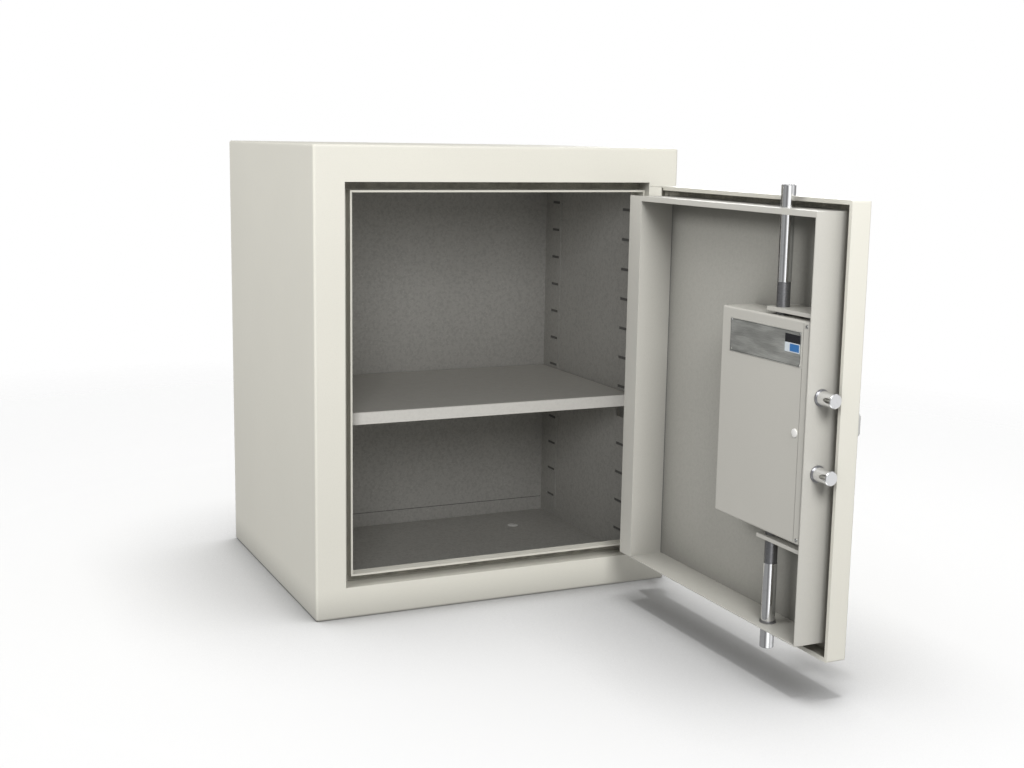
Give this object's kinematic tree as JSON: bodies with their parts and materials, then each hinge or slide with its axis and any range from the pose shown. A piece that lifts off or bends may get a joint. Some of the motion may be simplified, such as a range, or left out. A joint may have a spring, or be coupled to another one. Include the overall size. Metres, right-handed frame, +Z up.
{
  "type": "fire-resistant document cabinet",
  "caption": "Fire-resistant steel document cabinet with a hinged inset door, sliding bolts worked by a handle, a key lock and a shelf.",
  "frame": {"origin": "centre of the rectangular base footprint of the cabinet body, on the floor plane", "axes": "+X to the right facing the doorway, +Y into the cabinet, +Z up; at rest the door stands open 90 degrees in front of the right-hand edge, its bolts thrown"},
  "size_m": [0.6355, 1.09, 0.74],
  "materials": {
    "casing_paint": "fine textured powder coat, warm off-white",
    "interior_paint": "speckled grey powder coat",
    "insulation_board": "matt mineral board",
    "intumescent_strip": "matt taupe strip",
    "white_plastic": "moulded",
    "bolt_chrome": "bright plated",
    "dark_steel": "blackened, matt",
    "plain_steel": "zinc plated",
    "plate_aluminium": "brushed",
    "printed_label": "printed film, no wording",
    "lock_brass": "turned",
    "handle_plastic": "light grey, satin, moulded over metal"
  },
  "bodies": {
    "cabinet": {"outer_casing": "casing_paint", "rear_panel": "casing_paint", "body_insulation": "insulation_board", "inner_liner": "interior_paint", "front_frame": "casing_paint", "frame_seal": "intumescent_strip", "shelf": "interior_paint", "shelf_strips_left": "interior_paint", "shelf_strips_right": "interior_paint", "shelf_clips": "plain_steel", "anchor_plugs": "white_plastic", "hinge_leaf_cabinet_upper": "casing_paint", "hinge_leaf_cabinet_lower": "casing_paint", "hinge_pin_upper": "plain_steel", "hinge_pin_lower": "plain_steel", "hinge_washers": "lock_brass"},
    "handle": {"handle_grip": "handle_plastic", "handle_spindle": "plain_steel", "cam_disc": "plain_steel", "cam_pins": "plain_steel", "spindle_circlip": "dark_steel"},
    "side_bolts": {"side_bolt_upper": "bolt_chrome", "side_bolt_lower": "bolt_chrome", "bolt_carrier": "plain_steel", "carrier_screws": "dark_steel"},
    "top_bolts": {"top_bolt": "bolt_chrome", "top_bolt_rod": "dark_steel"},
    "bottom_bolts": {"bottom_bolt": "bolt_chrome", "bottom_bolt_rod": "dark_steel"},
    "key_barrel": {"lock_core": "lock_brass", "lock_cam": "plain_steel"},
    "deadbolt": {"lock_bolt": "plain_steel"},
    "keyhole_flap": {"key_cover": "bolt_chrome"},
    "door": {"door_pan": "casing_paint", "door_insulation": "insulation_board", "door_inner_panel": "casing_paint", "door_tray": "casing_paint", "door_seal": "intumescent_strip", "hinge_leaf_door_upper": "casing_paint", "hinge_leaf_door_lower": "casing_paint", "lock_cover": "casing_paint", "cover_screws": "plain_steel", "cover_posts": "plain_steel", "rating_plate": "plate_aluminium", "plate_sticker": "printed_label", "plate_rivets": "plain_steel", "cover_plug": "white_plastic", "rod_bracket_upper": "casing_paint", "rod_bracket_lower": "casing_paint", "top_bolt_bush": "dark_steel", "bottom_bolt_bush": "dark_steel", "side_bolt_bushes": "dark_steel", "handle_rose": "handle_plastic", "key_escutcheon": "bolt_chrome", "lock_case": "plain_steel", "lock_case_screws": "plain_steel", "key_cover_rivet": "plain_steel"}
  },
  "joints": [
    {"name": "door_hinge", "type": "hinge", "parent": "cabinet", "child": "door", "pos_m": [0.2855, -0.275, 0], "axis": [0, 0, 1], "range_deg": [-90, 80]},
    {"name": "handle_turn", "type": "hinge", "parent": "door", "child": "handle", "pos_m": [0.2675, -0.7055, 0.3675], "axis": [-1, 0, 0], "range_deg": [0, 60]},
    {"name": "side_bolts_slide", "type": "slide", "parent": "door", "child": "side_bolts", "axis": [0, 1, 0], "range_m": [0, 0.03]},
    {"name": "top_bolt_slide", "type": "slide", "parent": "door", "child": "top_bolts", "axis": [0, 0, -1], "range_m": [0, 0.03]},
    {"name": "bottom_bolt_slide", "type": "slide", "parent": "door", "child": "bottom_bolts", "axis": [0, 0, 1], "range_m": [0, 0.03]},
    {"name": "key_turn", "type": "hinge", "parent": "door", "child": "key_barrel", "pos_m": [0.2675, -0.774, 0.3675], "axis": [-1, 0, 0], "range_deg": [0, 90]},
    {"name": "lock_bolt_slide", "type": "slide", "parent": "door", "child": "deadbolt", "axis": [0, 1, 0], "range_m": [0, 0.008]},
    {"name": "key_cover_swing", "type": "hinge", "parent": "door", "child": "keyhole_flap", "pos_m": [0.2675, -0.774, 0.384], "axis": [-1, 0, 0], "range_deg": [-90, 90]}
  ],
  "couplings": [
    {"joint": "side_bolts_slide", "follows": "handle_turn", "m_per_rad": 0.028648},
    {"joint": "top_bolt_slide", "follows": "handle_turn", "m_per_rad": 0.028648},
    {"joint": "bottom_bolt_slide", "follows": "handle_turn", "m_per_rad": 0.028648},
    {"joint": "lock_bolt_slide", "follows": "key_turn", "m_per_rad": 0.005093}
  ]
}
